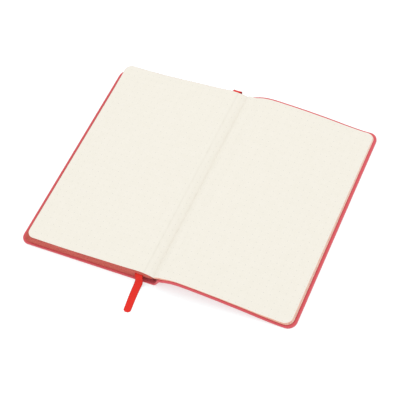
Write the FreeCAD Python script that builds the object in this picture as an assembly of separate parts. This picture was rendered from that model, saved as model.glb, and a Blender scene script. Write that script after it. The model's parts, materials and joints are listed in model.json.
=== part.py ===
import FreeCAD, Part
import math
import os

# Pocket notebook lying open on its front cover, in millimetres.
#
# +X runs from the front cover's fore-edge to the back cover's, +Y from tail to head, +Z up, and
# z = 0 is the surface that it lies on. Profiles are drawn in the X-Z plane with x measured from
# the crease, where the open pages meet, and extruded along Y. Everything is then moved by SHIFT,
# so that the origin is the middle of the covers' base.
#
# The cover is one skin wrapped over two boards and a spine strip. It is cut at its two joints,
# because the front half, the spine and the back half turn against each other there. Sewn
# signatures lie on the front cover, and the last one is turned over with the back cover, which
# its leaves hold in an arch.

V = FreeCAD.Vector

# ---- covers ----
COVER_HEIGHT = 141.9
FRONT_REACH = 91.0       # crease to the front cover's fore-edge
BACK_REACH = 86.1        # crease to the back cover's fore-edge
SKIN_T = 0.40
BOARD_T = 1.10
PASTEDOWN_T = 0.15
STRIP_T = 0.80           # spine strip
TURN_IN = 2.6            # width of skin that shows around a pastedown
COVER_CORNER = 5.5
JOINT_GAP = 0.12         # each side of a joint

# ---- spine ----
FRONT_JOINT_X = -9.0
SPINE_FLAT_END = -1.2    # where the spine leaves the table
SPINE_BEND_R = 2.5
SPINE_RISE = 56.0        # degrees, slope of its raised part
BACK_JOINT = (3.8, 7.3)  # x, z, on the inside of the cover
BACK_JOINT_SLOPE = 40.0  # degrees, mean slope of the cover across the joint
SPINE_SWING = 60.0       # degrees the spine turns to close; the block's back leans this much

# ---- leaves ----
SQUARE = 1.15            # cover beyond the leaves at head and tail
FORE_SQUARE = 1.5        # and at the fore-edge, at the lowest leaf
FORE_SLANT = 4.4         # how much further in the highest left leaf ends
RIGHT_SQUARE = 2.4
PAGE_CORNER = 4.6
LEAF_T = 0.10
SIGNATURE_T = 0.67
LEFT_COUNT = 10
BACK_SET = 0.60          # block's back from the front joint, along X
BACK_TOP = 0.935         # share of the stack above which the block's back is upright
ROOT_GAP = 0.50          # from the back joint to the right leaves
CREASE_SHARE = 0.833     # height of the crease as a share of the stack
FOLD_T = 0.35            # the fold of leaves at the crease

# ---- sewing and lining of the block's back ----
THREAD_T = 0.20
THREAD_W = 0.80
GLUE_T = 0.30            # over the stitches, on the block's back
STITCH_SPACING = 26.0
STITCH_COUNT = 5
MULL_T = 0.20
MULL_INSET = 6.0         # from head and tail

# ---- ribbon ----
RIBBON_W = 5.0
RIBBON_T = 0.30
RIBBON_PLAY = 0.06       # between ribbon and leaves
RIBBON_LEVEL = 6         # left signatures below the ribbon
RIBBON_REST = 0.17       # height of its middle on the table
# Route: out of the head of the block in a loop, back in between two signatures, out at the tail,
# over the front cover's edge to the table and along it. The first number is always the place
# beyond the front joint.
RIBBON_HEAD = [          # beyond the leaves' head, height above the ribbon's level
    (0.5, 1.45, -2.9), (0.6, 2.7, -2.7), (1.1, 3.7, -1.7), (1.3, 3.8, -0.3),
    (0.9, 2.6, 0.5), (0.0, 0.9, 0.32), (-0.5, -3.5, 0.01),
]
RIBBON_INSIDE = [        # share of half the leaves' height
    (-0.5, 0.83), (-0.6, 0.62), (-1.0, 0.24), (-1.3, -0.34), (-1.2, -0.67), (-0.9, -0.85),
]
RIBBON_TAIL = [          # beyond the leaves' tail, share of the ribbon's level above the table
    (-0.6, -3.8, 1.0), (-0.35, 0.4, 1.0), (0.3, 1.9, 0.81), (0.35, 2.6, 0.45),
    (-0.05, 3.7, 0.18), (-0.35, 6.1, 0.018), (-0.2, 9.7, 0.0), (0.4, 15.7, 0.0),
    (1.15, 22.2, 0.0),
]

# ---- outlines ----
# Left stack: (share of FRONT_REACH, height as a share of the stack's thickness).
LEFT_SWELL = [
    (0.99, 1.03), (0.86, 1.01), (0.68, 0.955), (0.50, 0.985), (0.31, 1.055), (0.16, 1.12),
    (0.10, 1.165), (0.055, 1.10), (0.02, 1.00),
]
# Arch of the back cover: (share of BACK_REACH, height of its underside, thickness of the
# signature on it as a share of SIGNATURE_T, which is more where its leaves fan out).
ARCH = [
    (0.035, 5.2, 2.6), (0.06, 6.1, 2.3), (0.12, 8.0, 1.4), (0.20, 8.65, 1.0), (0.29, 8.0, 1.0),
    (0.37, 7.2, 1.0), (0.465, 6.15, 1.15), (0.545, 5.05, 1.4), (0.63, 3.9, 1.6), (0.71, 2.6, 1.9),
    (0.79, 1.3, 2.5), (0.86, 0.4, 3.0), (0.93, 0.0, 3.0),
]

# ---- worked out from these ----
SHIFT = V((FRONT_REACH - BACK_REACH) / 2, 0, 0)
COVER_T = SKIN_T + BOARD_T + PASTEDOWN_T
SPINE_T = SKIN_T + STRIP_T
PAGE_HEIGHT = COVER_HEIGHT - 2 * SQUARE
LEFT_T = LEFT_COUNT * SIGNATURE_T + 2 * LEAF_T
BACK_TOP_Z = COVER_T + BACK_TOP * LEFT_T
CREASE_Z = COVER_T + CREASE_SHARE * LEFT_T
FRONT_JOINT = (FRONT_JOINT_X, COVER_T)
TALL = 40.0              # reaches well past everything


def line(a, b):
    return Part.LineSegment(V(a[0], 0, a[1]), V(b[0], 0, b[1])).toShape()


def spline(points, level_end=False):
    """A smooth edge through (x, z) points, level at its last one if asked."""
    curve = Part.BSplineCurve()
    at = [V(x, 0, z) for x, z in points]
    if level_end:
        slope = V(points[1][0] - points[0][0], 0, points[1][1] - points[0][1]).normalize()
        curve.interpolate(Points=at, InitialTangent=slope, FinalTangent=V(1, 0, 0))
    else:
        curve.interpolate(at)
    return curve.toShape()


def extrude(edges, height):
    """The closed outline of edges, extruded along Y and centred on y = 0."""
    face = Part.Face(Part.Wire(Part.__sortEdges__(edges)))
    solid = face.extrude(V(0, height, 0))
    solid.translate(V(0, -height / 2, 0))
    return solid


def polygon(points, height):
    ends = points[1:] + points[:1]
    return extrude([line(a, b) for a, b in zip(points, ends)], height)


def plan_wire(fore, inner, height, radius, z):
    """A level outline from x = fore to x = inner, with its two corners at fore rounded."""
    half = height / 2
    side = math.copysign(radius, inner - fore)
    lean = 1 - math.sqrt(0.5)
    edges = []
    for s in (-1, 1):
        start = V(fore, s * (half - radius), 0)
        middle = V(fore + side * lean, s * (half - radius * lean), 0)
        end = V(fore + side, s * half, 0)
        edges.append(Part.Arc(start, middle, end).toShape())
        edges.append(Part.LineSegment(end, V(inner, s * half, 0)).toShape())
    edges.append(Part.LineSegment(V(fore, radius - half, 0), V(fore, half - radius, 0)).toShape())
    edges.append(Part.LineSegment(V(inner, -half, 0), V(inner, half, 0)).toShape())
    wire = Part.Wire(Part.__sortEdges__(edges))
    wire.translate(V(0, 0, z))
    return wire


def plan(fore, inner, height, radius):
    """An upright prism over that outline."""
    return Part.Face(plan_wire(fore, inner, height, radius, -TALL)).extrude(V(0, 0, 2 * TALL))


def beyond(point, slope):
    """Everything on the +X side of the joint plane through point, at right angles to slope."""
    size = 2 * COVER_HEIGHT
    box = Part.makeBox(size, size, 2 * size, V(0, -size / 2, -size))
    box.rotate(V(0, 0, 0), V(0, -1, 0), slope)
    box.translate(V(point[0], 0, point[1]))
    return box


# ---- layers of the two halves ----

def left_line(height):
    """Edge at this height above the front pastedown, where the stack is LEFT_T thick."""
    return spline([(-u * FRONT_REACH, COVER_T + height * share) for u, share in LEFT_SWELL])


def right_line(height, fan=0.0):
    """Edges at this height above the back cover's underside, plus fan times the signature."""
    points = [(u * BACK_REACH, z + height + fan * SIGNATURE_T * g) for u, z, g in ARCH]
    last = points[-1]
    return [spline(points, level_end=True), line(last, (BACK_REACH + 1, last[1]))]


def between(lower, upper, height):
    """The solid between two open lines of edges that start and end at the same x."""
    lower, upper = Part.Wire(lower), Part.Wire(upper)
    low = sorted((v.Point for v in lower.OrderedVertexes), key=lambda p: p.x)
    high = sorted((v.Point for v in upper.OrderedVertexes), key=lambda p: p.x)
    ends = [Part.LineSegment(low[i], high[i]).toShape() for i in (0, -1)]
    return extrude(lower.Edges + upper.Edges + ends, height)


def back_line(out=0.0):
    """(x, z) of the foot and the shoulder of the block's sloping back, moved out by that much."""
    run = math.tan(math.radians(90 - SPINE_SWING))
    foot = FRONT_JOINT_X - BACK_SET + out / math.sin(math.radians(SPINE_SWING))
    return (foot, COVER_T), (foot + run * (BACK_TOP_Z - COVER_T), BACK_TOP_Z)


def left_envelope():
    """The left stack's outer shape, from above the front pastedown up."""
    foot, shoulder = back_line()
    fore = FORE_SQUARE - FRONT_REACH
    side = polygon([foot, shoulder, (shoulder[0], TALL), (fore, TALL), (fore, COVER_T)], PAGE_HEIGHT)
    ends = [plan_wire(fore + FORE_SLANT * n, 0, PAGE_HEIGHT, PAGE_CORNER, COVER_T + LEFT_T * n)
            for n in (0, 2)]
    return side.common(Part.makeLoft(ends, True, True))


def left_layer(envelope, low, high):
    if low == 0:
        ends = [(-u * FRONT_REACH, COVER_T) for u in (LEFT_SWELL[0][0], LEFT_SWELL[-1][0])]
        bottom = line(*ends)
    else:
        bottom = left_line(low)
    return envelope.common(between([bottom], [left_line(high)], PAGE_HEIGHT))


def left_stack():
    """Flyleaf, signatures and the loose top leaf, from the front cover up."""
    envelope = left_envelope()
    layers = {"front_flyleaf": left_layer(envelope, 0, LEAF_T)}
    for i in range(LEFT_COUNT):
        low = LEAF_T + i * SIGNATURE_T
        layers[f"signature_{i + 1:02d}"] = left_layer(envelope, low, low + SIGNATURE_T)
    layers["left_leaf"] = left_layer(envelope, LEFT_T - LEAF_T, LEFT_T)
    return layers


def right_stack():
    """The flyleaf and the signature that lie on the back cover."""
    outline = plan(BACK_REACH - RIGHT_SQUARE, BACK_JOINT[0] + ROOT_GAP, PAGE_HEIGHT, PAGE_CORNER)
    top = COVER_T + LEAF_T
    flyleaf = between(right_line(COVER_T), right_line(top), PAGE_HEIGHT)
    signature = between(right_line(top), right_line(top, fan=1.0), PAGE_HEIGHT)
    return {
        "back_flyleaf": flyleaf.common(outline),
        f"signature_{LEFT_COUNT + 1:02d}": signature.common(outline),
    }


# ---- covers ----

def cover(outer, board_band, lining_band, fore, inner):
    """Skin, board and pastedown of one cover. outer is the whole cover, and the two bands are
    cut by the cover's plan, drawn in by the skin's thickness and by the turn-in."""
    sign = math.copysign(1, inner - fore)
    board = board_band.common(plan(fore + sign * SKIN_T, inner, COVER_HEIGHT - 2 * SKIN_T,
                                   COVER_CORNER - SKIN_T))
    lining = lining_band.common(plan(fore + sign * TURN_IN, inner, COVER_HEIGHT - 2 * TURN_IN,
                                     COVER_CORNER - TURN_IN))
    return outer.cut(board).cut(lining), board, lining


def flat_band(low, high):
    return polygon([(-FRONT_REACH, low), (0, low), (0, high), (-FRONT_REACH, high)], COVER_HEIGHT)


def front_cover():
    end = FRONT_JOINT_X - JOINT_GAP
    whole = flat_band(0, COVER_T).common(plan(-FRONT_REACH, end, COVER_HEIGHT, COVER_CORNER))
    skin, board, lining = cover(whole, flat_band(SKIN_T, SKIN_T + BOARD_T),
                                flat_band(SKIN_T + BOARD_T, COVER_T), -FRONT_REACH, end)
    return {"front_skin": skin, "front_board": board, "front_pastedown": lining}


def back_cover():
    rise = math.radians(BACK_JOINT_SLOPE)
    start = (BACK_JOINT[0] + JOINT_GAP * math.cos(rise), BACK_JOINT[1] + JOINT_GAP * math.sin(rise))
    half = beyond(start, BACK_JOINT_SLOPE)

    def band(low, high):
        return between(right_line(low), right_line(high), COVER_HEIGHT).common(half)

    whole = band(0, COVER_T).common(plan(BACK_REACH, 0, COVER_HEIGHT, COVER_CORNER))
    skin, board, lining = cover(whole, band(SKIN_T, SKIN_T + BOARD_T),
                                band(SKIN_T + BOARD_T, COVER_T), BACK_REACH, 0)
    return {"back_skin": skin, "back_board": board, "back_pastedown": lining}


def spine_line(depth):
    """Flat, bend and rise of the spine, at this depth inside its outer face."""
    rise = math.radians(SPINE_RISE)
    centre = (SPINE_FLAT_END, SPINE_BEND_R)
    radius = SPINE_BEND_R - depth

    def on_bend(angle):
        return (centre[0] + radius * math.sin(angle), centre[1] - radius * math.cos(angle))

    start, middle, end = on_bend(0), on_bend(rise / 2), on_bend(rise)
    far = (end[0] + TALL / 4 * math.cos(rise), end[1] + TALL / 4 * math.sin(rise))
    bend = Part.Arc(*[V(x, 0, z) for x, z in (start, middle, end)]).toShape()
    return [line((FRONT_JOINT_X + JOINT_GAP, depth), start), bend, line(end, far)]


def spine():
    rise = math.radians(BACK_JOINT_SLOPE)
    end = (BACK_JOINT[0] - JOINT_GAP * math.cos(rise), BACK_JOINT[1] - JOINT_GAP * math.sin(rise))
    rest = beyond(end, BACK_JOINT_SLOPE)

    def band(low, high, height):
        return between(spine_line(low), spine_line(high), height).cut(rest)

    strip = band(SKIN_T, SPINE_T, COVER_HEIGHT - 2 * SKIN_T)
    skin = band(0, SPINE_T, COVER_HEIGHT).cut(strip)
    return {"spine_skin": skin, "spine_strip": strip}


# ---- what holds the leaves ----

def back_band(inside, outside, height):
    """A layer on the block's sloping back."""
    foot_in, shoulder_in = back_line(inside)
    foot_out, shoulder_out = back_line(outside)
    return polygon([foot_in, foot_out, shoulder_out, shoulder_in], height)


def back_lining():
    """Sewing thread, the glue around it and the gauze over both."""
    bar = back_band(0, THREAD_T, THREAD_W)
    thread = back_band(0, THREAD_T, STITCH_SPACING * (STITCH_COUNT - 1))
    foot = back_line()[0]
    middle = COVER_T + LEFT_T / 2
    chain = Part.makeBox(TALL, COVER_HEIGHT, THREAD_W, V(foot[0] - 1, -COVER_HEIGHT / 2, middle))
    thread = thread.common(chain)
    for i in range(STITCH_COUNT):
        stitch = bar.copy()
        stitch.translate(V(0, STITCH_SPACING * (i - (STITCH_COUNT - 1) / 2), 0))
        thread = thread.fuse(stitch)
    thread = thread.removeSplitter()
    lined = PAGE_HEIGHT - 2 * MULL_INSET
    glue = back_band(0, GLUE_T, lined).cut(thread)
    mull = back_band(GLUE_T, GLUE_T + MULL_T, lined)
    return {"sewing_thread": thread, "spine_glue": glue, "spine_mull": mull}


def share_at(table, u):
    """The second column of a table at u, between its points."""
    rows = sorted(table)
    for (u0, a), (u1, b) in zip(rows, rows[1:]):
        if u0 <= u <= u1:
            return a + (b - a) * (u - u0) / (u1 - u0)
    raise ValueError("outside the table")


def gutter_fold():
    """The folded strip where the open leaves run down to the crease and up again."""
    left = back_line()[1][0]
    left_z = COVER_T + LEFT_T * share_at(LEFT_SWELL, -left / FRONT_REACH)
    right = BACK_JOINT[0] + ROOT_GAP
    heights = [(u, z + COVER_T + LEAF_T + SIGNATURE_T * g) for u, z, g in ARCH]
    right_z = share_at(heights, right / BACK_REACH)
    bow = 0.16

    def arm(x, z, drop):
        ends = ((x, z - drop), (0, CREASE_Z - drop))
        middle = (x / 2, (ends[0][1] + ends[1][1]) / 2 + bow * abs(x) / 2)
        return Part.Arc(*[V(a, 0, b) for a, b in (ends[0], middle, ends[1])]).toShape()

    upper = [arm(left, left_z, 0), arm(right, right_z, 0)]
    lower = [arm(left, left_z, FOLD_T), arm(right, right_z, FOLD_T)]
    return {"gutter_fold": between(lower, upper, PAGE_HEIGHT)}


# ---- ribbon ----

def ribbon_route():
    """The route's points, at the height of the leaves that the ribbon lies between."""
    x, end = FRONT_JOINT_X, PAGE_HEIGHT / 2
    below = LEAF_T + RIBBON_LEVEL * SIGNATURE_T
    level = COVER_T + below * share_at(LEFT_SWELL, -(x + RIBBON_HEAD[-1][0]) / FRONT_REACH)
    head = [V(x + dx, end + dy, level + dz) for dx, dy, dz in RIBBON_HEAD]
    inside = [V(x + dx, end * share, level) for dx, share in RIBBON_INSIDE]
    tail = [V(x + dx, -end - dy, RIBBON_REST + share * (level - RIBBON_REST))
            for dx, dy, share in RIBBON_TAIL]
    return head + inside + tail


def ribbon_path():
    """Straight runs joined by tangent arcs, each as large as its runs allow."""
    points = ribbon_route()
    edges, radii, start = [], [], points[0]
    for before, here, after in zip(points, points[1:], points[2:]):
        back, on = (before - here).normalize(), (after - here).normalize()
        reach = 0.45 * min(before.distanceToPoint(here), after.distanceToPoint(here))
        turn = math.pi - back.getAngle(on)
        radius = reach / math.tan(turn / 2)
        radii.append(radius)
        first, last = here + back * reach, here + on * reach
        inward = (back + on).normalize()
        middle = here + inward * (radius / math.cos(turn / 2) - radius)
        edges.append(Part.LineSegment(start, first).toShape())
        edges.append(Part.Arc(first, middle, last).toShape())
        start = last
    edges.append(Part.LineSegment(start, points[-1]).toShape())
    return edges, radii


def ribbon_section(point, tangent, width, thickness):
    """A rectangle across the path, with its width as near to +X as it can be."""
    tangent.normalize()
    across = (V(1, 0, 0) - tangent * tangent.x).normalize() * (width / 2)
    up = tangent.cross(across).normalize() * (thickness / 2)
    return Part.makePolygon([point + across + up, point - across + up, point - across - up,
                             point + across - up, point + across + up])


def ribbon(path, width, thickness):
    sections = []
    for edge in path:
        first, last = edge.ParameterRange
        arc = isinstance(edge.Curve, Part.Circle)
        steps = 1 + int(math.degrees(last - first) / 12) if arc else 1
        for i in range(0 if not sections else 1, steps + 1):
            at = first + (last - first) * i / steps
            sections.append(ribbon_section(edge.valueAt(at), edge.tangentAt(at), width, thickness))
    return Part.makeLoft(sections, True, True)


def export(nodes):
    os.makedirs("parts", exist_ok=True)
    for name, shape in nodes.items():
        solids = shape.Solids
        if not solids or not shape.isValid():
            raise ValueError(f"{name} has no valid solid")
        placed = (solids[0] if len(solids) == 1 else Part.makeCompound(solids)).copy()
        placed.translate(SHIFT)
        placed.exportStep(f"parts/{name}.step")
        box = placed.BoundBox
        print(f"{name:16s} {len(solids)} solid {placed.Volume:9.1f} mm3  "
              f"x {box.XMin:7.2f} {box.XMax:7.2f}  y {box.YMin:7.2f} {box.YMax:7.2f}  "
              f"z {box.ZMin:6.2f} {box.ZMax:6.2f}")


def main():
    nodes = {}
    for group in (front_cover(), spine(), back_cover(), left_stack(), right_stack(),
                  gutter_fold(), back_lining()):
        nodes.update(group)
    path, radii = ribbon_path()
    marker = ribbon(path, RIBBON_W, RIBBON_T)
    slot = ribbon(path, RIBBON_W + 2 * RIBBON_PLAY, RIBBON_T + 2 * RIBBON_PLAY)
    for i in (RIBBON_LEVEL, RIBBON_LEVEL + 1):
        name = f"signature_{i:02d}"
        nodes[name] = max(nodes[name].cut(slot).Solids, key=lambda solid: solid.Volume)
    nodes["ribbon_marker"] = marker
    length = sum(edge.Length for edge in path)
    print("ribbon route, mm:", [tuple(round(c, 2) for c in p) for p in ribbon_route()])
    print("ribbon arcs, mm:", " ".join(f"{r:.1f}" for r in radii))
    print(f"ribbon length {length:.1f} mm, volume {marker.Volume:.1f}, "
          f"section x length {length * RIBBON_W * RIBBON_T:.1f} mm3")
    export(nodes)


main()
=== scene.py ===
import json
import math

import bpy
import numpy as np
from mathutils import Matrix, Vector
from mathutils.bvhtree import BVHTree


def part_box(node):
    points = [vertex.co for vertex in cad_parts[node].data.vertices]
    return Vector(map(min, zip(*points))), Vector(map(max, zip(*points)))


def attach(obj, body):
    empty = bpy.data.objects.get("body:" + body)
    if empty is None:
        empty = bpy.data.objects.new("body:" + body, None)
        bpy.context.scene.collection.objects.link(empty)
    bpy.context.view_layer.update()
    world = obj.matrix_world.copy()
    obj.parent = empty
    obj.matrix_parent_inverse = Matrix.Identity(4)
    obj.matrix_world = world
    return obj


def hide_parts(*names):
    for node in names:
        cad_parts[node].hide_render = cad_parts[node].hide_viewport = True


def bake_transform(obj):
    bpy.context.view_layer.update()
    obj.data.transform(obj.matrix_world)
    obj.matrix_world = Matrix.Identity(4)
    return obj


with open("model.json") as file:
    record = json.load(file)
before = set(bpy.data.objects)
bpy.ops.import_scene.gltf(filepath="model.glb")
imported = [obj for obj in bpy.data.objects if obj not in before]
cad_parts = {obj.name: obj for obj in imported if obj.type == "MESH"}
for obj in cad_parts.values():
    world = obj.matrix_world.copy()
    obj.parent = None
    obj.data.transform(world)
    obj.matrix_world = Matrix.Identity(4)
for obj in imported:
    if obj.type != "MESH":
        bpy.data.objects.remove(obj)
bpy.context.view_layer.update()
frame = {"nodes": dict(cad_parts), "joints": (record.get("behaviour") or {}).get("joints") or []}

# %% [markdown]
# # A pocket notebook, open on a table
#
# The notebook lies on its front cover. A thick stack of sewn leaves is on the left, and one
# signature is turned over with the back cover, which it holds in a low arch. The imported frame
# already has every piece as a plain solid in the right place. This lesson gives each one its
# look: a wrap with rounded rims, single leaves with dyed edges, a satin ribbon, paper and light.
#
# Everything is in metres. X runs from the front cover's fore-edge to the back cover's, Y from
# tail to head, Z up. Sizes come from the frame's boxes and joints wherever it has them.

# %% Sizes from the frame
MM = 0.001
joints = {j["name"]: j for j in frame["joints"]}
crease_x = joints["leaf_turn"]["pos_m"][0]
front_hinge = np.array(joints["front_joint"]["pos_m"])
back_hinge = np.array(joints["back_joint"]["pos_m"])
cover_low, cover_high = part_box("front_skin")
cover_t = cover_high.z
cover_half = cover_high.y
fore_front = cover_low.x
fore_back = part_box("back_skin")[1].x
page_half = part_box("left_leaf")[1].y
rng = np.random.default_rng(7)
print(f"cover {2 * cover_half / MM:.1f} mm tall and {cover_t / MM:.2f} mm thick, "
      f"leaves {2 * page_half / MM:.1f} mm tall")

# %% [markdown]
# ## Shader maths in plain Python
#
# A Blender material is a graph of nodes. Drawing one by hand is slow to read in a script, so one
# small class wraps an output socket. Adding or multiplying two of them adds a Math node, and
# every other kind of node comes from its one method, `node`.

# %% The socket class
class Term:
    """An output socket in a material's graph, on which Python's arithmetic adds Math nodes."""

    def __init__(self, tree, socket=None):
        self.tree = tree
        self.socket = socket

    def node(self, kind, settings=None, sockets=None, out=0):
        """A new node of this kind: settings first, then the values or links of its sockets."""
        made = self.tree.nodes.new("ShaderNode" + kind)
        for name, value in (settings or {}).items():
            if name == "stops":
                ramp = made.color_ramp
                ramp.elements[0].position, ramp.elements[0].color = value[0]
                ramp.elements[1].position, ramp.elements[1].color = value[-1]
                for place, colour in value[1:-1]:
                    ramp.elements.new(place).color = colour
            else:
                setattr(made, name, value)
        for name, value in (sockets or {}).items():
            if isinstance(value, Term):
                self.tree.links.new(value.socket, made.inputs[name])
            else:
                made.inputs[name].default_value = value
        return Term(self.tree, made.outputs[out])

    def maths(self, operation, *terms):
        return self.node("Math", {"operation": operation}, dict(enumerate(terms)))

    def mix(self, a, b):
        """Colour a where this term is 0, and b where it is 1."""
        return self.node("Mix", {"data_type": "RGBA"}, {0: self, 6: a, 7: b}, out=2)

    def __add__(self, other):
        return self.maths("ADD", self, other)

    def __mul__(self, other):
        return self.maths("MULTIPLY", self, other)

    __radd__ = __add__
    __rmul__ = __mul__


def rgb(red, green, blue):
    """A linear colour from the 0 to 255 values that a paint or paper sample is given in."""
    c = np.array([red, green, blue]) / 255
    linear = np.where(c <= 0.04045, c / 12.92, ((c + 0.055) / 1.055) ** 2.4)
    return (*linear.tolist(), 1.0)


def new_material(name, **constants):
    """A material with these constants on its shader, and a Term to build its graph from."""
    material = bpy.data.materials.new(name)
    material.use_nodes = True
    shader = material.node_tree.nodes["Principled BSDF"]
    for socket, value in constants.items():
        shader.inputs[socket.replace("_", " ")].default_value = value
    return material, Term(material.node_tree), shader


def feed(shader, socket, term):
    term.tree.links.new(term.socket, shader.inputs[socket])


print("sample 188 is", round(rgb(188, 188, 188)[0], 3), "of white's light")

# %% [markdown]
# ## The wrap: soft-touch coral red
#
# The cover is a thin sheet of matte coated material with a fine, even grain, turned in over the
# board. It is nearly flat to look at: the grain only shows as a slight change in gloss and a low
# bump. Two sizes of noise on Object coordinates give both, so the grain never slides.

# %% Wrap material
OBJECT = 3               # number of the Texture Coordinate node's Object output
CLOUDS_PER_M = 45.0      # broad, faint patches
GRAIN_PER_M = 1900.0     # pebbles about half a millimetre wide
FINE_PER_M = 2600.0


def make_wrap_material():
    material, t, shader = new_material("soft_touch_wrap", Roughness=0.50, Specular_IOR_Level=0.35,
                                       Sheen_Weight=0.12, Sheen_Roughness=0.4)
    place = t.node("TexCoord", out=OBJECT)
    cloud = t.node("TexNoise", sockets={"Vector": place, "Scale": CLOUDS_PER_M, "Detail": 3.0})
    grain = t.node("TexVoronoi", {"feature": "SMOOTH_F1"}, {"Vector": place, "Scale": GRAIN_PER_M})
    fine = t.node("TexNoise", sockets={"Vector": place, "Scale": FINE_PER_M, "Detail": 2.0})
    feed(shader, "Base Color", cloud.mix(rgb(198, 74, 82), rgb(208, 84, 92)))
    feed(shader, "Roughness", 0.44 + 0.14 * cloud)
    height = grain * 0.6 + fine * 0.4
    bump = t.node("Bump", sockets={"Height": height, "Strength": 0.22, "Distance": 0.00005})
    feed(shader, "Normal", bump)
    return material


wrap_material = make_wrap_material()
print("wrap material made")

# %% [markdown]
# ## Paper with a dot grid, and its dyed edges
#
# The leaves are smooth off-white writing paper with a faint grey dot every 4 mm. Each leaf has a
# UV map in metres, across from the crease and up from the middle, so a dot is a small circle
# at every corner of a 4 mm grid: a ping-pong of each coordinate gives the distance to the nearest
# grid line, the two together give the distance to the nearest dot, and a smooth step compares
# that with the dot's radius. The cut edges are dyed brownish red, a little unevenly, which noise
# stretched flat along the stack's height gives. The fanned edge of the turned leaves gets a
# lighter
# copy of the same dye: painted light, for those brightly lit edges.

# %% Paper materials
DOT_PITCH = 4.0 * MM
DOT_RADIUS = 0.17 * MM
DOT_STRENGTH = 0.62
STREAKS_PER_M = (60.0, 60.0, 9000.0)


def make_paper_material(name, shift):
    material, t, shader = new_material(name, Roughness=0.82, Specular_IOR_Level=0.25)
    page = t.node("UVMap", {"uv_map": "page"})
    moved = t.node("VectorMath", {"operation": "ADD"}, {0: page, 1: (shift[0], shift[1], 0.0)})
    split_x = t.node("SeparateXYZ", sockets={0: moved}, out=0)
    split_y = t.node("SeparateXYZ", sockets={0: moved}, out=1)
    away_x = t.maths("PINGPONG", split_x, DOT_PITCH / 2)
    away_y = t.maths("PINGPONG", split_y, DOT_PITCH / 2)
    far = t.maths("SQRT", away_x * away_x + away_y * away_y)
    dot = t.node("MapRange", {"interpolation_type": "SMOOTHSTEP"}, {
        "Value": far, "From Min": DOT_RADIUS * 1.25, "From Max": DOT_RADIUS * 0.75,
        "To Min": 0.0, "To Max": DOT_STRENGTH})
    place = t.node("TexCoord", out=OBJECT)
    fibre = t.node("TexNoise", sockets={"Vector": place, "Scale": 260.0, "Detail": 4.0})
    paper = fibre.mix(rgb(226, 222, 212), rgb(222, 218, 206))
    feed(shader, "Base Color", dot.mix(paper, rgb(160, 160, 160)))
    bump = t.node("Bump", sockets={"Height": fibre, "Strength": 0.08, "Distance": 0.00004})
    feed(shader, "Normal", bump)
    return material


def make_edge_material(name, deep, middle, light):
    material, t, shader = new_material(name, Roughness=0.72)
    place = t.node("TexCoord", out=OBJECT)
    stretched = t.node("Mapping", sockets={"Vector": place, "Scale": STREAKS_PER_M})
    streak = t.node("TexNoise", sockets={"Vector": stretched, "Scale": 1.0, "Detail": 3.0})
    stops = [(0.30, rgb(*deep)), (0.55, rgb(*middle)), (0.80, rgb(*light))]
    feed(shader, "Base Color", t.node("ValToRGB", {"stops": stops}, {"Fac": streak}))
    return material


left_paper = make_paper_material("dotted_paper_left", (1.2 * MM, 1.2 * MM))
right_paper = make_paper_material("dotted_paper_right", (0.3 * MM, 0.4 * MM))
edge_material = make_edge_material("dyed_leaf_edge", (166, 64, 54), (200, 86, 74),
                                   (226, 124, 106))
# a lighter copy of the dye: painted light for the brightly lit edges of the fanned leaves
fan_edge_painted_light = make_edge_material("dyed_edge_fanned", (222, 140, 120), (240, 180, 158),
                                  (250, 208, 186))
print("paper and edge materials made")

# %% [markdown]
# ## The plain inner pieces
#
# Boards, endpapers, thread, glue and gauze mostly hide inside. Their solids are already right, so
# they only get a finish, assigned to the CAD object's own slot. The glue and the gauze of the
# spine are painted dark, as painted shade for the hollow of the spine where they show.

# %% Inner materials
def make_plain_material(name, colour, other, roughness, per_m):
    material, t, shader = new_material(name, Roughness=roughness)
    place = t.node("TexCoord", out=OBJECT)
    mottle = t.node("TexNoise", sockets={"Vector": place, "Scale": per_m, "Detail": 5.0})
    feed(shader, "Base Color", mottle.mix(rgb(*colour), rgb(*other)))
    return material


board_material = make_plain_material("grey_board", (150, 142, 130), (120, 112, 102), 0.9, 900.0)
endpaper_material = make_plain_material("cream_endpaper", (246, 241, 228), (240, 234, 219), 0.85,
                                        300.0)
thread_material = make_plain_material("waxed_thread", (232, 226, 208), (214, 206, 186), 0.6,
                                      1500.0)
# the glue's own brown, darkened further as painted shade of the spine's hollow
glue_painted_shade_material = make_plain_material("dried_glue", (96, 78, 64), (76, 60, 50), 0.35, 200.0)
# gauze painted near black: painted shade of the spine's hollow, not the gauze's own colour
gauze_painted_shade_material = make_plain_material("dark_gauze", (62, 46, 44), (38, 28, 28), 0.9, 1800.0)

INNER = {
    "front_board": board_material, "back_board": board_material, "spine_strip": board_material,
    "front_pastedown": endpaper_material, "back_pastedown": endpaper_material,
    "sewing_thread": thread_material, "spine_glue": glue_painted_shade_material, "spine_mull": gauze_painted_shade_material,
}
for node_name, material in INNER.items():
    slots = frame["nodes"][node_name].data.materials
    slots.clear()
    slots.append(material)
print(len(INNER), "inner pieces finished")

# %% [markdown]
# ## Reading the profile off the frame
#
# Covers and leaves have the same section all along Y, so one line of heights describes each. A
# ray sent down, or up, onto a CAD node near y = 0 gives its height at one x, and a short moving
# average takes out the facets of its mesh.

# %% Profile lines
RAY_Y = 1.1 * MM         # just off the middle, clear of the meshes' own edges there
RAY_START = 0.1          # well outside the notebook
LINE_STEP = 0.2 * MM
COVER_REACH = 5          # steps on each side in the moving average
LEAF_REACH = 12


def caster(*names):
    """A search tree over these nodes' meshes together."""
    verts, faces, count = [], [], 0
    for name in names:
        mesh = frame["nodes"][name].data
        verts.extend(v.co.copy() for v in mesh.vertices)
        faces.extend([i + count for i in p.vertices] for p in mesh.polygons)
        count = len(verts)
    return BVHTree.FromPolygons(verts, faces)


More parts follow.
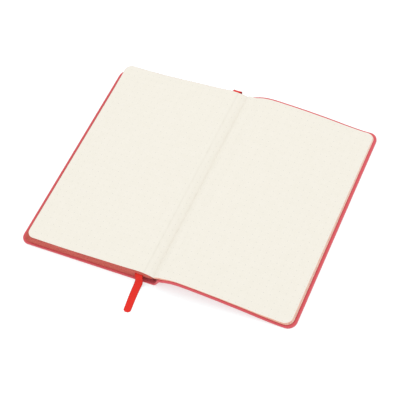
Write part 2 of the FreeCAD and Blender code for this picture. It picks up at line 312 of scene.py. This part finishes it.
def heights(tree, xs, up=False):
    """z where a ray down (or up) at each x first meets the tree, with gaps filled in."""
    way = 1.0 if up else -1.0
    hits = [tree.ray_cast(Vector((x, RAY_Y, -way * RAY_START)), Vector((0, 0, way)))[0]
            for x in xs]
    z = np.array([np.nan if h is None else h.z for h in hits])
    good = ~np.isnan(z)
    return np.interp(xs, xs[good], z[good])


def smooth(values, reach):
    """A moving average over 2 * reach + 1 samples, with the ends held."""
    padded = np.concatenate([np.full(reach, values[0]), values, np.full(reach, values[-1])])
    kernel = np.hanning(2 * reach + 3)[1:-1]
    return np.convolve(padded, kernel / kernel.sum(), mode="valid")


line_x = np.arange(fore_front, fore_back + LINE_STEP / 2, LINE_STEP)
cover_tree = caster("front_skin", "spine_skin", "back_skin")
outer_z = smooth(heights(cover_tree, line_x, up=True), COVER_REACH)
left_x = np.arange(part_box("left_leaf")[0].x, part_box("left_leaf")[1].x, LINE_STEP)
left_top = smooth(heights(caster("left_leaf"), left_x), LEAF_REACH)
right_x = np.arange(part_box("signature_11")[0].x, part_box("signature_11")[1].x, LINE_STEP)
right_top = smooth(heights(caster("signature_11"), right_x), LEAF_REACH)
right_base = smooth(heights(caster("back_flyleaf"), right_x, up=True), LEAF_REACH)
print(f"left stack {left_top.max() / MM:.2f} mm high, "
      f"right arch {right_top.max() / MM:.2f} mm high")

# %% [markdown]
# ## Meshes from arrays
#
# Every new surface here is a grid of points, so one helper numbers its quads and another puts
# the arrays into a mesh.

# %% Mesh helpers
def grid_quads(rows, columns, flip=False):
    """Quads over a grid of points numbered row by row."""
    corner = np.arange(rows - 1)[:, None] * columns + np.arange(columns - 1)
    order = [0, 1, columns + 1, columns] if flip else [0, columns, columns + 1, 1]
    return (corner[..., None] + np.array(order)).reshape(-1, 4)


def build(name, points, quads, materials, material_index=None, uv=None):
    """An object at the origin from arrays of points and quads, smooth shaded."""
    mesh = bpy.data.meshes.new(name)
    mesh.from_pydata(points.tolist(), [], quads.tolist())
    for material in materials:
        mesh.materials.append(material)
    if material_index is not None:
        mesh.polygons.foreach_set("material_index", material_index.astype(np.int32))
    if uv is not None:
        layer = mesh.uv_layers.new(name="page")
        layer.data.foreach_set("uv", uv[quads.reshape(-1)].astype(np.float32).reshape(-1))
    mesh.shade_smooth()
    made = bpy.data.objects.new(name, mesh)
    bpy.context.scene.collection.objects.link(made)
    return made


def merge_points(piece, distance):
    """Joins points closer than this, so that strips that meet become one surface."""
    modifier = piece.modifiers.new("merge", "WELD")
    modifier.merge_threshold = distance


print("a grid of 3 by 4 points has", len(grid_quads(3, 4)), "quads")

# %% [markdown]
# ## The wrap as one turned-in sheet
#
# The real cover is cut from one sheet, wrapped round the boards and turned in. It could be three
# boxes with a bevel, but those would show a seam at each joint. So it is drawn flat first, as
# the real one is. s is the distance along the outside from the front fore-edge, y is across, and
# t is the depth inwards. The rim follows the sheet's outline, drawn in by d, at depth t, where
# (d, t) goes round a small radius, up the edge, round again and back over the inside. Then
# (s, t) is bent along the profile line. The sheet is cut in two at the middle of the spine,
# because a piece can bend across one joint only.

# %% Cover line by arc length
RIM_R = 0.52 * MM        # rounding of the rim, outside and inside
COVER_R = 5.5 * MM       # corners of the cover
SKIN_T = 0.36 * MM
TURN_IN = 2.6 * MM       # how far the skin runs back over the inside of a cover
SPINE_TURN_IN = 12.0 * MM
SPINE_T = 1.22 * MM
RAMP = 1.5 * MM          # beside each joint, from cover to spine
EDGE_SINK = 0.12 * MM    # how deep the turn-in's cut edge is pressed

step_length = np.hypot(np.diff(line_x), np.diff(outer_z))
line_s = np.concatenate([[0.0], np.cumsum(step_length)])
slope_x = smooth(np.gradient(line_x, line_s), COVER_REACH - 1)
slope_z = smooth(np.gradient(outer_z, line_s), COVER_REACH - 1)
spine_middle_x = (front_hinge[0] + crease_x) / 2
cut_s = np.interp(spine_middle_x, line_x, line_s)
print(f"wrap is {line_s[-1] / MM:.1f} mm from fore-edge to fore-edge")


def bend(s, y, t):
    """The point at s along the cover's outside, y across and t inwards, in the frame."""
    x, z = np.interp(s, line_s, line_x), np.interp(s, line_s, outer_z)
    run, rise = np.interp(s, line_s, slope_x), np.interp(s, line_s, slope_z)
    size = np.hypot(run, rise)
    return np.stack([x - t * rise / size, y, z + t * run / size], axis=-1)


def on_spine(s):
    """1 over the spine, 0 over the covers, with a ramp beside each joint."""
    at = np.interp(s, line_s, line_x)
    ramps = (at - front_hinge[0]) / RAMP, (back_hinge[0] - at) / RAMP
    return np.clip(ramps[0], 0, 1) * np.clip(ramps[1], 0, 1)


def depth(s):
    """Thickness of the cover at s: less over the spine strip."""
    return cover_t + on_spine(s) * (SPINE_T - cover_t)


# %% Half of the wrap
ALONG_STEPS = 150        # from the cut to the corner
CORNER_STEPS = 13
WELD = 0.004 * MM


def wrap_half(name, s_fore, s_cut):
    """Half of the wrap, from the fore-edge at s_fore to the cut at s_cut.

    Outline: from the cut along the head, round the head corner (y = h - r + r sin a,
    s = r - r cos a from the fore-edge), down the fore-edge and back along the tail.
    """
    way = 1.0 if s_cut > s_fore else -1.0
    length = abs(s_cut - s_fore)
    straight = np.linspace(length, COVER_R, ALONG_STEPS)
    turn = np.linspace(90, 0, CORNER_STEPS)[1:] * math.pi / 180
    across = np.linspace(1, -1, CORNER_STEPS)[1:-1]
    level = cover_half - COVER_R
    head_s = np.concatenate([straight, COVER_R * (1 - np.cos(turn))])
    head_y = np.concatenate([np.full(ALONG_STEPS, cover_half), level + COVER_R * np.sin(turn)])
    out_s = np.concatenate([np.zeros(ALONG_STEPS), -np.cos(turn)])
    out_y = np.concatenate([np.ones(ALONG_STEPS), np.sin(turn)])
    outline_s = np.concatenate([head_s, np.zeros(len(across)), head_s[::-1]])
    outline_y = np.concatenate([head_y, across * level, -head_y[::-1]])
    normal_s = np.concatenate([out_s, -np.ones(len(across)), out_s[::-1]])
    normal_y = np.concatenate([out_y, np.zeros(len(across)), -out_y[::-1]])

    angle = np.linspace(0, math.pi / 2, 6)
    inset = [RIM_R * (1 - np.sin(angle)), RIM_R * (1 - np.cos(angle)), [TURN_IN, TURN_IN]]
    rounding = [RIM_R * (1 - np.cos(angle)), -RIM_R * (1 - np.sin(angle)), [0.0, -EDGE_SINK]]
    d, offset = np.concatenate(inset), np.concatenate(rounding)
    inside = np.concatenate([np.zeros(len(angle)), np.ones(len(angle) + 2)])
    extra = on_spine(s_fore + way * outline_s) * (SPINE_TURN_IN - TURN_IN)
    d = d + extra[:, None] * (d > RIM_R)
    s = outline_s[:, None] - d * normal_s[:, None]
    y = outline_y[:, None] - d * normal_y[:, None]
    along = s_fore + way * s
    rim = bend(along, y, inside * depth(along) + offset)

    face_s = head_s - RIM_R * out_s
    face_y = head_y - RIM_R * out_y
    v = np.concatenate([[1.0], across, [-1.0]])
    flat_along = np.repeat((s_fore + way * face_s)[:, None], len(v), axis=1)
    face = bend(flat_along, face_y[:, None] * v, np.zeros_like(flat_along))

    points = np.concatenate([rim.reshape(-1, 3), face.reshape(-1, 3)])
    rim_quads = grid_quads(len(outline_s), d.shape[1], flip=way < 0)
    face_quads = grid_quads(len(face_s), len(v), flip=way > 0) + rim.shape[0] * rim.shape[1]
    piece = build(name, points, np.concatenate([rim_quads, face_quads]), [wrap_material])
    merge_points(piece, WELD)
    wall = piece.modifiers.new("skin", "SOLIDIFY")
    wall.thickness = SKIN_T
    wall.offset = -1.0
    return piece


# %% Wrap pieces
front_wrap = wrap_half("wrap_front", 0.0, cut_s)
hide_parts("front_skin")
back_wrap = wrap_half("wrap_back", line_s[-1], cut_s)
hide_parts("back_skin", "spine_skin")
for piece in (front_wrap, back_wrap):
    print(piece.name, len(piece.data.vertices), "points")

# %% [markdown]
# ## Single leaves
#
# A signature is eight thin leaves. One block with lines painted on its edge would be cheaper,
# but its edges would look moulded, and they are what the eye rests on here. So each leaf is a
# grid over (u, v): u runs from the fore-edge to the fold and v from tail to head. Near the
# fore-edge the leaf gets shorter by the corner's circle, h - r + sqrt(r^2 - (r - d)^2) at
# distance d, which rounds both corners at once. A leaf has a top, an underside and a rim strip
# of its own points, so that the dyed edge stays crisp.

# %% Leaf outline
LEAF_R = 4.6 * MM
LEAF_T = 0.074 * MM
PER_SIGNATURE = 8
LEAF_CORNER_STEPS = 8
LEAF_COLUMNS = 9
DYE_CREEP = 0.07 * MM    # how far the dye runs on to a leaf's top


def leaf_stations(fore, root, count, radius):
    """x from the fore-edge to the root, closer together round the corner."""
    side = math.copysign(1, root - fore)
    corner = radius * (1 - np.cos(np.linspace(0, math.pi / 2, LEAF_CORNER_STEPS)))
    rest = np.linspace(radius, abs(root - fore), count - LEAF_CORNER_STEPS + 1)[1:]
    distance = np.concatenate([corner, rest])
    return fore + side * distance, distance


def leaf_grid(fore, root, height, half, radius, count):
    """Points of one face: (x, half(distance) * v, height(x, y))."""
    xs, distance = leaf_stations(fore, root, count, radius)
    inside = np.clip(radius - distance, 0, None)
    tall = half - radius + np.sqrt(radius ** 2 - inside ** 2)
    v = np.linspace(-1, 1, LEAF_COLUMNS)
    x = np.repeat(xs[:, None], len(v), axis=1)
    y = tall[:, None] * v
    return np.stack([x, y, height(x, y)], axis=-1)


trial, _ = leaf_stations(fore_front, crease_x, 44, LEAF_R)
print("a leaf has", len(trial), "stations, the first ones", trial[1] - trial[0], "m apart")


# %% One whole leaf
def leaf_arrays(fore, root, height, under_height, half, count=44, margin=DYE_CREEP):
    """Points, quads, material numbers and page coordinates of one leaf.

    The dye creeps over the edge by the margin, so the top face is that much smaller, and the
    rim runs from it over the edge to the underside.
    """
    side = math.copysign(1, root - fore)
    face = leaf_grid(fore + side * margin, root, height, half - margin, LEAF_R - margin, count)
    full = leaf_grid(fore, root, height, half, LEAF_R, count)
    rows, columns = full.shape[:2]
    number = np.arange(rows * columns).reshape(rows, columns)
    border = np.concatenate([number[:-1, 0], number[-1, :-1], number[:0:-1, -1], number[0, :0:-1]])
    border = np.append(border, border[0])
    top, full = face.reshape(-1, 3), full.reshape(-1, 3)
    under = full.copy()
    under[:, 2] = under_height(full[:, 0], full[:, 1])
    loops = np.stack([top[border], full[border], under[border]], axis=1).reshape(-1, 3)
    left_hand = side > 0
    strip = grid_quads(len(border), 3, flip=left_hand)
    quads = np.concatenate([grid_quads(rows, columns, flip=not left_hand),
                            grid_quads(rows, columns, flip=left_hand) + len(top),
                            strip + 2 * len(top)])
    dyed = np.ones((len(border) - 1, 2))
    dyed[rows - 1:rows + columns - 2] = 0
    kind = np.concatenate([np.zeros(2 * (rows - 1) * (columns - 1)), dyed.reshape(-1)])
    points = np.concatenate([top, under, loops])
    line = face[:, columns // 2]
    arc = np.concatenate([[0.0], np.cumsum(np.hypot(np.diff(line[:, 0]), np.diff(line[:, 2])))])
    across = np.repeat((arc[-1] - arc)[:, None], columns, axis=1).reshape(-1)
    page = np.stack([across, top[:, 1]], axis=-1)
    uv = np.concatenate([page, page, np.repeat(page[border], 3, axis=0)])
    return points, quads, kind, uv


def leaf_piece(name, leaves, paper, edge=None):
    """One object from a list of leaves."""
    count, points, quads, kinds, uvs = 0, [], [], [], []
    for p, q, k, uv in leaves:
        points.append(p)
        quads.append(q + count)
        kinds.append(k)
        uvs.append(uv)
        count += len(p)
    return build(name, np.concatenate(points), np.concatenate(quads),
                 [paper, edge or edge_material], np.concatenate(kinds), np.concatenate(uvs))


# %% [markdown]
# ## How the leaves meet the crease
#
# At the fold the leaves curve down to their sewing. The top leaves of the left stack run all the
# way to the crease. Deeper ones stop earlier, on the block's sloping back, which leaves the dark
# hollow that shows at head and tail. A cubic curve takes each line from the flat of the page
# to the crease with the right slope at both ends.

# %% Left leaf lines
CREASE_Z = 7.35 * MM
DIP_LEFT = 7.0 * MM      # where the top left leaves start down, before the crease
LEFT_DROP = -0.62        # their slope at the crease
SLOPE_RUN = 1.5 * MM     # over which the slope before that is measured
CURL = 1.0 * MM
back_slope = math.tan(math.radians(60))


def hermite(x, x0, z0, slope0, x1, z1, slope1):
    """The cubic through both ends with these slopes."""
    w, h = x1 - x0, (x - x0) / (x1 - x0)
    return ((2 * h**3 - 3 * h**2 + 1) * z0 + (h**3 - 2 * h**2 + h) * w * slope0
            + (3 * h**2 - 2 * h**3) * z1 + (h**3 - h**2) * w * slope1)


def left_height(x, y, level):
    """Height of the left stack at x, at this share of its thickness.

    Its top leaves curl up a little at the head corner of the fore-edge.
    """
    near_head = np.clip((y - 42 * MM) / (28 * MM), 0, 1)
    near_fore = np.clip((crease_x - 55 * MM - x) / (34 * MM), 0, 1)
    curl = CURL * near_head ** 2 * near_fore ** 2 * level ** 12
    bend_x = crease_x - DIP_LEFT
    z0 = np.interp(bend_x, left_x, left_top)
    slope = (z0 - np.interp(bend_x - SLOPE_RUN, left_x, left_top)) / SLOPE_RUN
    near = hermite(x, bend_x, z0, slope, crease_x, CREASE_Z, LEFT_DROP)
    top = np.where(x < bend_x, np.interp(x, left_x, left_top), near)
    return cover_t + level * (top - cover_t) + curl


def left_root(level):
    """x where the leaf at this level ends: on the sloping back low down, at the crease on top.

    Between the levels 0.3 and 0.6 a smooth step takes it from one to the other.
    """
    z = cover_t + level * (8.6 * MM - cover_t)
    on_back = front_hinge[0] - 0.6 * MM + (z - cover_t) / back_slope
    part = np.clip((level - 0.30) / 0.30, 0, 1)
    reach = part ** 2 * (3 - 2 * part)
    at_crease = crease_x - (1 - level) * 2.4 * MM
    return on_back + reach * (at_crease - on_back)


def left_fore(level):
    """x of the fore-edge at this level: the stack slants in towards its top."""
    low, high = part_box("front_flyleaf")[0].x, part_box("left_leaf")[0].x
    return low + level * (high - low)


print(f"left leaves end {(crease_x - left_root(0.7)) / MM:.1f} mm before the crease at level 0.7")


# %% Right leaf lines
DIP_RIGHT = 3.0 * MM     # where the right leaves start down, beyond their own inner edge
CREASE_FOLD = 1.0 * MM   # thickness of the turned signature at the crease
TOP_SLOPES = (0.95, 0.22)
BASE_SLOPES = (0.30, 0.32)


def right_line(x, level):
    """Height of the turned leaves at x, from the back cover up."""
    bend_x = right_x[0] + DIP_RIGHT
    low = np.interp(x, right_x, right_base)
    high = np.interp(x, right_x, right_top)
    top0, base0 = np.interp(bend_x, right_x, right_top), np.interp(bend_x, right_x, right_base)
    near_top = hermite(x, crease_x, CREASE_Z, TOP_SLOPES[0], bend_x, top0, TOP_SLOPES[1])
    near_base = hermite(x, crease_x, CREASE_Z - CREASE_FOLD, BASE_SLOPES[0], bend_x, base0,
                        BASE_SLOPES[1])
    low = np.where(x > bend_x, low, near_base)
    high = np.where(x > bend_x, high, near_top)
    return low + level * (high - low)


print(f"right leaves are {right_line(right_x, 1.0).max() / MM:.2f} mm high at most")

# %% [markdown]
# ## Ten signatures, a flyleaf and a loose leaf on the left
#
# The left stack is 80 leaves in ten signatures. A hair of randomness in where each one is cut
# keeps the edges from looking moulded. The three lowest signatures stay on the front cover; the
# others only have their transforms baked.

# %% Left stack
LEFT_SIGNATURES = 10
LEFT_TOTAL = LEFT_SIGNATURES * PER_SIGNATURE + 2
ON_COVER = 3
FILL = 0.88              # share of a leaf's own room that its paper takes up


def cut_edges(fore, half):
    """The fore-edge and the half height of one leaf, each off by a hair."""
    return fore + rng.uniform(-0.015, 0.015) * MM, half + rng.uniform(-0.012, 0.012) * MM


def left_leaf_arrays(index):
    level = (index + 1) / LEFT_TOTAL
    fore, half = cut_edges(left_fore(level), page_half)
    return leaf_arrays(fore, left_root(level), lambda x, y: left_height(x, y, level),
                       lambda x, y: left_height(x, y, level - FILL / LEFT_TOTAL), half)


flyleaf = leaf_piece("front_flyleaf_sheet", [left_leaf_arrays(0)], endpaper_material)
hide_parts("front_flyleaf")
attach(flyleaf, "front_half")
for i in range(LEFT_SIGNATURES):
    node_name = f"signature_{i + 1:02d}"
    leaves = [left_leaf_arrays(1 + i * PER_SIGNATURE + k) for k in range(PER_SIGNATURE)]
    piece = leaf_piece(f"leaves_{i + 1:02d}", leaves, left_paper)
    if i == LEFT_SIGNATURES - 1:
        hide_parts(node_name, "gutter_fold")
    else:
        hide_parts(node_name)
    if i < ON_COVER:
        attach(piece, "front_half")
    else:
        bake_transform(piece)
print("left stack of", LEFT_TOTAL, "leaves")

# %% [markdown]
# ## The leaf that turns
#
# The top leaf has a joint of its own in the frame. It is built as a piece of its own, which ends
# where the stack starts to dip to the crease.

# %% Loose leaf
LOOSE_ROOT = crease_x - 5.9 * MM
loose = leaf_arrays(left_fore(1.0) + 0.02 * MM, LOOSE_ROOT,
                    lambda x, y: left_height(x, y, 1.0),
                    lambda x, y: left_height(x, y, 1.0) - LEAF_T, page_half, 60)
top_leaf = leaf_piece("top_leaf", [loose], left_paper)
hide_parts("left_leaf")
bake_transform(top_leaf)
print("the top leaf turns on a line at x =", round(crease_x / MM, 2), "mm")

# %% [markdown]
# ## The turned signature on the right
#
# These leaves fan out towards the fore-edge, where air gets between them, so the gaps widen with
# the frame's own outline. Lower leaves reach a little further out than the top one.

# %% Right leaves
RIGHT_TOTAL = PER_SIGNATURE + 1
STEP_OUT = 0.8 * MM      # how much further the lowest leaf reaches
HEAD_CLOSING = 0.85      # how much closer together the leaves lie at the head
LIFT = 0.02 * MM
right_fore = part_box("signature_11")[1].x


def right_leaf_arrays(index):
    level = (index + 1) / RIGHT_TOTAL
    fore, half = cut_edges(right_fore + STEP_OUT * (1 - level), page_half)

    def height(x, y, lower=0.0):
        """Away from the crease the leaves lie closer together towards the head."""
        out = np.clip((x - crease_x - 0.5 * MM) / (6 * MM), 0, 1)
        closer = 1 - HEAD_CLOSING * out * np.clip((y / page_half + 0.6) / 1.6, 0, 1)
        return right_line(x, (level - lower) * closer) + LIFT

    return leaf_arrays(fore, crease_x + 0.4 * MM * (1 - level), height,
                       lambda x, y: height(x, y, 0.8 / RIGHT_TOTAL), half, 70, 0.03 * MM)


back_fly = leaf_piece("back_flyleaf_sheet", [right_leaf_arrays(0)], endpaper_material)
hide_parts("back_flyleaf")
turned_leaves = [right_leaf_arrays(k) for k in range(1, RIGHT_TOTAL)]
turned = leaf_piece("leaves_11", turned_leaves, right_paper, fan_edge_painted_light)
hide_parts("signature_11")
for piece in (back_fly, turned):
    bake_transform(piece)
print("right leaves:", RIGHT_TOTAL)

# %% [markdown]
# ## The wrap's modifiers applied
#
# Now that both halves of the wrap are final, their modifiers are applied and their transforms
# baked. The front joint is where the spine leaves the table, the back one where the spine meets
# the back cover.

# %% Wrap modifiers applied
for piece in (front_wrap, back_wrap):
    bpy.context.view_layer.objects.active = piece
    for modifier in list(piece.modifiers):
        with bpy.context.temp_override(object=piece):
            bpy.ops.object.modifier_apply(modifier=modifier.name)
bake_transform(front_wrap)
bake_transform(back_wrap)
print("wrap bends at", front_hinge[0] / MM, "and", back_hinge[0] / MM, "mm")

# %% [markdown]
# ## The ribbon marker
#
# A 5 mm satin ribbon starts at the head of the spine, lies between the sixth and seventh
# signatures and comes out at the tail. A cloth simulation would drape it, but would fall
# differently with each small change. So its line is one smooth spline through a given
# route. The strip follows points read back from that spline: at each one, a flat section with
# slightly thicker woven edges is laid across the line, level, and the cut end is rounded. The
# satin's weave is two sine waves in the bump, one along the ribbon and one across.

# %% Ribbon route
RIBBON_W = 5.0 * MM
RIBBON_T = 0.26 * MM
ROUTE = [                # mm, with x from the crease
    (-8.5, 71.25, 3.54), (-8.4, 72.5, 3.74), (-7.9, 73.5, 4.74), (-7.7, 73.6, 6.14),
    (-8.1, 72.4, 6.94), (-9.0, 70.7, 6.76), (-9.5, 66.3, 6.45), (-9.5, 57.93, 6.44),
    (-9.6, 43.28, 6.44), (-10.0, 16.75, 6.44), (-10.3, -23.73, 6.44), (-10.2, -46.77, 6.44),
    (-9.9, -59.33, 6.44), (-9.6, -66.0, 6.44), (-9.35, -70.2, 6.44), (-8.7, -71.7, 5.25),
    (-8.65, -72.4, 2.99), (-9.05, -73.5, 1.3), (-9.35, -75.9, 0.28), (-9.2, -79.5, 0.17),
    (-8.6, -85.5, 0.17), (-7.85, -92.0, 0.17),
]


def spline_points(route):
    """Points along the smooth NURBS line through this route."""
    curve = bpy.data.curves.new("ribbon_line", "CURVE")
    curve.dimensions = "3D"
    spline = curve.splines.new("NURBS")
    spline.points.add(len(route) - 1)
    for point, (x, y, z) in zip(spline.points, route):
        point.co = (x * MM + crease_x, y * MM, z * MM, 1.0)
    spline.order_u = 3
    spline.use_endpoint_u = True
    spline.resolution_u = 14
    holder = bpy.data.objects.new("ribbon_line", curve)
    mesh = bpy.data.meshes.new_from_object(holder)
    points = np.array([v.co for v in mesh.vertices])
    bpy.data.objects.remove(holder)
    return points


ribbon_path = spline_points(ROUTE)
print("ribbon line of", len(ribbon_path), "points")


# %% Ribbon satin
WEFT_PITCH = 0.22 * MM
WARP_PITCH = 0.30 * MM
SELVEDGE = (1.9 * MM, 2.4 * MM)     # from the middle, where the darker woven edge sets in


def make_ribbon_material():
    material, t, shader = new_material("satin_ribbon", Roughness=0.38, Specular_IOR_Level=0.18,
                                       Anisotropic=0.5, Sheen_Weight=0.08, Sheen_Roughness=0.35)
    page = t.node("UVMap", {"uv_map": "page"})
    along = t.node("SeparateXYZ", sockets={0: page}, out=0)
    across = t.node("SeparateXYZ", sockets={0: page}, out=1)
    weft = t.maths("SINE", along * (2 * math.pi / WEFT_PITCH))
    warp = t.maths("SINE", across * (2 * math.pi / WARP_PITCH))
    side = t.maths("ABSOLUTE", across)
    selvedge = t.node("MapRange", sockets={"Value": side, "From Min": SELVEDGE[0],
                                           "From Max": SELVEDGE[1]})
    feed(shader, "Base Color", selvedge.mix(rgb(216, 38, 26), rgb(180, 24, 22)))
    height = weft * 0.5 + warp * 0.3
    bump = t.node("Bump", sockets={"Height": height, "Strength": 0.25, "Distance": 0.00004})
    feed(shader, "Normal", bump)
    return material


ribbon_material = make_ribbon_material()
print("satin made, its weft", WEFT_PITCH / MM, "mm apart")

# %% Ribbon strip
END_ROUND = 1.6 * MM     # length of the rounded cut end
TAPER = 0.1              # how much narrower the end is
TAPER_RUN = 20 * MM
SECTION_TOP = np.array([(-1, 0), (-0.97, 1), (-0.85, 1), (-0.5, 0.8), (0, 0.8), (0.5, 0.8),
                        (0.85, 1), (0.97, 1), (1, 0)])


def ribbon_strip(path):
    """A flat section with fuller edges, in shares of the half width and half thickness.

    It is swept along the path. The end is rounded as a half ellipse, sqrt(1 - (1 - u)^2) at u
    from the tip.
    """
    tangent = np.gradient(path, axis=0)
    tangent /= np.linalg.norm(tangent, axis=1)[:, None]
    level = np.array([1.0, 0, 0]) - tangent * tangent[:, :1]
    level /= np.linalg.norm(level, axis=1)[:, None]
    up = np.cross(tangent, level)
    gone = np.concatenate([[0.0], np.cumsum(np.linalg.norm(np.diff(path, axis=0), axis=1))])
    to_go = gone[-1] - gone
    left = np.clip(to_go / END_ROUND, 0, 1)
    narrow = 1 - TAPER * np.clip(1 - to_go / TAPER_RUN, 0, 1)
    half = RIBBON_W / 2 * narrow * (0.45 + 0.55 * np.sqrt(1 - (1 - left) ** 2))
    section = np.concatenate([SECTION_TOP, (SECTION_TOP * (1, -1))[-2::-1]])
    w, thick = section[:, 0], section[:, 1] * RIBBON_T / 2
    points = (path[:, None] + level[:, None] * (half[:, None] * w)[..., None]
              + up[:, None] * thick[:, None])
    uv = np.stack([np.repeat(gone[:, None], len(w), 1), half[:, None] * w], axis=-1).reshape(-1, 2)
    return points.reshape(-1, 3), grid_quads(len(path), len(w)), uv, gone[-1]


ribbon_points, ribbon_quads, ribbon_uv, ribbon_length = ribbon_strip(ribbon_path)
ribbon = build("ribbon", ribbon_points, ribbon_quads, [ribbon_material], uv=ribbon_uv)
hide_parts("ribbon_marker")
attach(ribbon, "front_half")
print(f"ribbon {ribbon_length / MM:.1f} mm")

# %% [markdown]
# ## Floor and light
#
# A pale seamless table, one broad soft light from above and behind, and a bright surround, so
# that the shadows are faint and close to the covers. The table also glows a little, as a light
# table does, which keeps its open part pure white. It reflects less red than green and blue,
# because the covers throw red on to it. The Standard view keeps every colour at the value that
# its sample was given in.

# %% Stage
FLOOR = 3.0
FLOOR_COLOUR = (0.46, 0.55, 0.55, 1.0)
FLOOR_GLOW = 0.55
SURROUND = 1.07
WHITE = (1.0, 1.0, 1.0, 1.0)

floor_mesh = bpy.data.meshes.new("table_top")
corners = [(-FLOOR, -FLOOR, 0), (FLOOR, -FLOOR, 0), (FLOOR, FLOOR, 0), (-FLOOR, FLOOR, 0)]
floor_mesh.from_pydata(corners, [], [(0, 1, 2, 3)])
table_top = bpy.data.objects.new("table_top", floor_mesh)
table_material = new_material("pale_table", Roughness=0.9, Base_Color=FLOOR_COLOUR,
                              Emission_Color=WHITE, Emission_Strength=FLOOR_GLOW)[0]
floor_mesh.materials.append(table_material)
bpy.context.scene.collection.objects.link(table_top)

world = bpy.data.worlds.new("studio")
world.use_nodes = True
background = world.node_tree.nodes["Background"]
background.inputs["Color"].default_value = WHITE
background.inputs["Strength"].default_value = SURROUND
bpy.context.scene.world = world
bpy.context.scene.view_settings.view_transform = "Standard"
print("table", 2 * FLOOR, "m wide")


# %% Lights
def soft_light(name, place, size, power):
    """A square area light at place, facing the notebook."""
    data = bpy.data.lights.new(name, "AREA")
    data.size = size
    data.energy = power
    lamp = bpy.data.objects.new(name, data)
    lamp.location = place
    lamp.rotation_euler = (-Vector(place)).to_track_quat("-Z", "Y").to_euler()
    bpy.context.scene.collection.objects.link(lamp)


soft_light("overhead", (0.25, 0.35, 1.3), 1.0, 3.0)
soft_light("left_fill", (-1.0, -0.3, 0.8), 0.8, 0.8)
print("surround and two soft lights")

# %% [markdown]
# ## Camera
#
# A long lens looks down on the book from its tail end, which keeps the covers' edges nearly
# parallel, as they are in a catalogue picture. The camera could be placed by a matrix of
# numbers, but an azimuth, an elevation, a roll, a distance and the point it looks at can each
# be understood and changed alone.

# %% Camera
AZIMUTH, ELEVATION, ROLL = math.radians(35.64), math.radians(54.60), math.radians(-13.96)
DISTANCE = 670.2 * MM
aim = np.array([crease_x + 0.59 * MM, -7.61 * MM, 0.0])
away = np.array([math.sin(AZIMUTH) * math.cos(ELEVATION),
                 -math.cos(AZIMUTH) * math.cos(ELEVATION), math.sin(ELEVATION)])
level = np.array([math.cos(AZIMUTH), math.sin(AZIMUTH), 0.0])
upright = np.cross(away, level)
camera_x = math.cos(ROLL) * level + math.sin(ROLL) * upright
camera_y = -math.sin(ROLL) * level + math.cos(ROLL) * upright
camera_data = bpy.data.cameras.new("camera")
camera_data.sensor_width = 36.0
camera_data.lens = 100.13
camera = bpy.data.objects.new("camera", camera_data)
matrix = np.eye(4)
matrix[:3, 0], matrix[:3, 1], matrix[:3, 2] = camera_x, camera_y, away
matrix[:3, 3] = aim + away * DISTANCE
camera.matrix_world = Matrix(matrix.tolist())
bpy.context.scene.collection.objects.link(camera)
bpy.context.scene.camera = camera
print("camera", DISTANCE, "m away")
